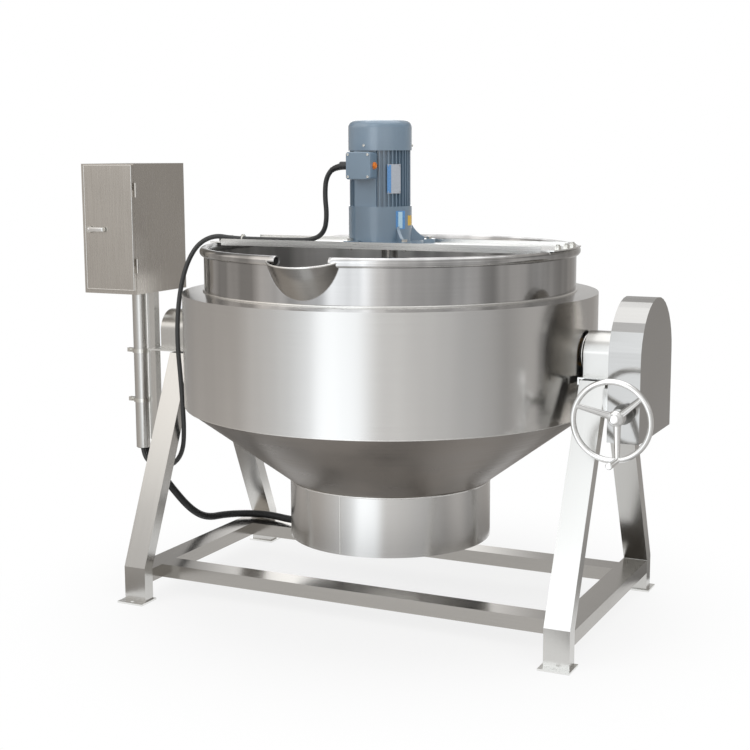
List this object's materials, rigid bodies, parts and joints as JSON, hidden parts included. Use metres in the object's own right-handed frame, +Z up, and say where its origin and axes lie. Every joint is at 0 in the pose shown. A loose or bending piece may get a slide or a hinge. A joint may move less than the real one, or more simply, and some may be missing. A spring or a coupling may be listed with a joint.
{
  "type": "steam jacketed kettle",
  "caption": "Tilting steam jacketed cooking kettle on a trunnion frame, with a bridge-mounted agitator motor, a pouring spout, a worm-drive handwheel and a control box on a post.",
  "frame": {"origin": "on the floor, at the centre of the rectangle of anchor holes in the feet", "axes": "+Z up, +X along the trunnions towards the gear case, -Y towards the pouring side"},
  "size_m": [2.0475, 1.344, 1.572],
  "materials": {
    "stainless_brushed": "satin",
    "stainless_polished": "polished",
    "cast_iron_blocks": "painted grey",
    "bronze_bushes": "machined",
    "bronze_wheel": "machined",
    "ground_steel": "ground",
    "cast_aluminium": "polished casting",
    "bright_clamps": "bright",
    "latch_metal": "bright",
    "zinc_panel": "zinc plated",
    "device_plastic": "matt",
    "bright_bolts": "bright",
    "motor_paint": "semi-gloss",
    "black_gland": "matt",
    "fan_plastic": "matt",
    "white_scrapers": "matt",
    "cable_rubber": "matt",
    "conduit_plastic": "matt"
  },
  "bodies": {
    "frame": {"front_left_leg": "stainless_brushed", "rear_left_leg": "stainless_brushed", "front_right_leg": "stainless_brushed", "rear_right_leg": "stainless_brushed", "side_rails": "stainless_brushed", "cross_rails": "stainless_brushed", "foot_plates": "stainless_brushed", "left_seat_plate": "stainless_brushed", "right_seat_plate": "stainless_brushed", "left_bearing_block": "cast_iron_blocks", "right_bearing_block": "cast_iron_blocks", "bearing_bushes": "bronze_bushes", "left_bearing_cover": "stainless_brushed", "right_bearing_cover": "stainless_brushed", "gear_case_back": "stainless_brushed", "gear_case_hood": "stainless_polished", "gear_case_body": "stainless_polished", "gear_case_mount": "stainless_brushed", "worm_housing": "cast_iron_blocks", "shaft_collar": "stainless_brushed", "box_post": "stainless_brushed", "conduit_pipe": "stainless_brushed", "pipe_clamps": "bright_clamps", "control_box": "stainless_brushed", "hinge_brackets": "stainless_brushed", "mounting_panel": "zinc_panel", "contactors": "device_plastic", "terminal_strip": "device_plastic"},
    "kettle": {"inner_pot": "stainless_polished", "pouring_spout": "stainless_polished", "steam_jacket": "stainless_brushed", "heater_elements": "stainless_brushed", "heater_cover": "stainless_brushed", "outer_shell": "stainless_brushed", "cone_shell": "stainless_brushed", "skirt": "stainless_brushed", "trunnions": "ground_steel", "worm_wheel": "bronze_wheel", "motor_bridge": "stainless_brushed", "rim_fixings": "bright_bolts", "flange_bolts": "bright_bolts", "gear_housing": "motor_paint", "motor_stator": "motor_paint", "fan_cowl": "motor_paint", "terminal_box": "motor_paint", "terminal_cover": "motor_paint", "cable_gland": "black_gland", "motor_cable": "cable_rubber", "heater_conduit": "conduit_plastic"},
    "agitator": {"agitator_shaft": "stainless_brushed", "anchor_frame": "stainless_brushed", "scrapers": "white_scrapers"},
    "motor": {"motor_rotor": "ground_steel", "cooling_fan": "fan_plastic"},
    "handwheel": {"handwheel": "cast_aluminium", "worm_shaft": "ground_steel"},
    "knob": {"crank_knob": "cast_aluminium"},
    "door": {"box_door": "stainless_brushed", "door_hinges": "stainless_brushed"},
    "latch": {"door_latch": "latch_metal"}
  },
  "joints": [
    {"name": "kettle_tilt", "type": "hinge", "parent": "frame", "child": "kettle", "pos_m": [0, 0, 0.86], "axis": [1, 0, 0], "range_deg": [0, 90], "deforming": ["motor_cable", "heater_conduit"]},
    {"name": "handwheel_turn", "type": "hinge", "parent": "frame", "child": "handwheel", "pos_m": [0.838, -0.2, 0.71], "axis": [0, -1, 0], "range_deg": [0, 5670]},
    {"name": "knob_spin", "type": "hinge", "parent": "handwheel", "child": "knob", "pos_m": [0.8578, -0.34, 0.59773], "axis": [0, -1, 0], "continuous": true},
    {"name": "agitator_spin", "type": "hinge", "parent": "kettle", "child": "agitator", "pos_m": [0, 0, 1], "axis": [0, 0, 1], "continuous": true},
    {"name": "motor_spin", "type": "hinge", "parent": "kettle", "child": "motor", "pos_m": [-0.034, 0, 1.4], "axis": [0, 0, 1], "continuous": true},
    {"name": "door_swing", "type": "hinge", "parent": "frame", "child": "door", "pos_m": [-0.8645, -0.178, 1.2], "axis": [0, 0, 1], "range_deg": [0, 110]},
    {"name": "latch_turn", "type": "hinge", "parent": "door", "child": "latch", "pos_m": [-1.046, -0.19, 1.214], "axis": [0, 1, 0], "range_deg": [0, 90]}
  ],
  "couplings": [
    {"joint": "handwheel_turn", "follows": "kettle_tilt", "ratio": 63},
    {"joint": "motor_spin", "follows": "agitator_spin", "ratio": 39}
  ]
}
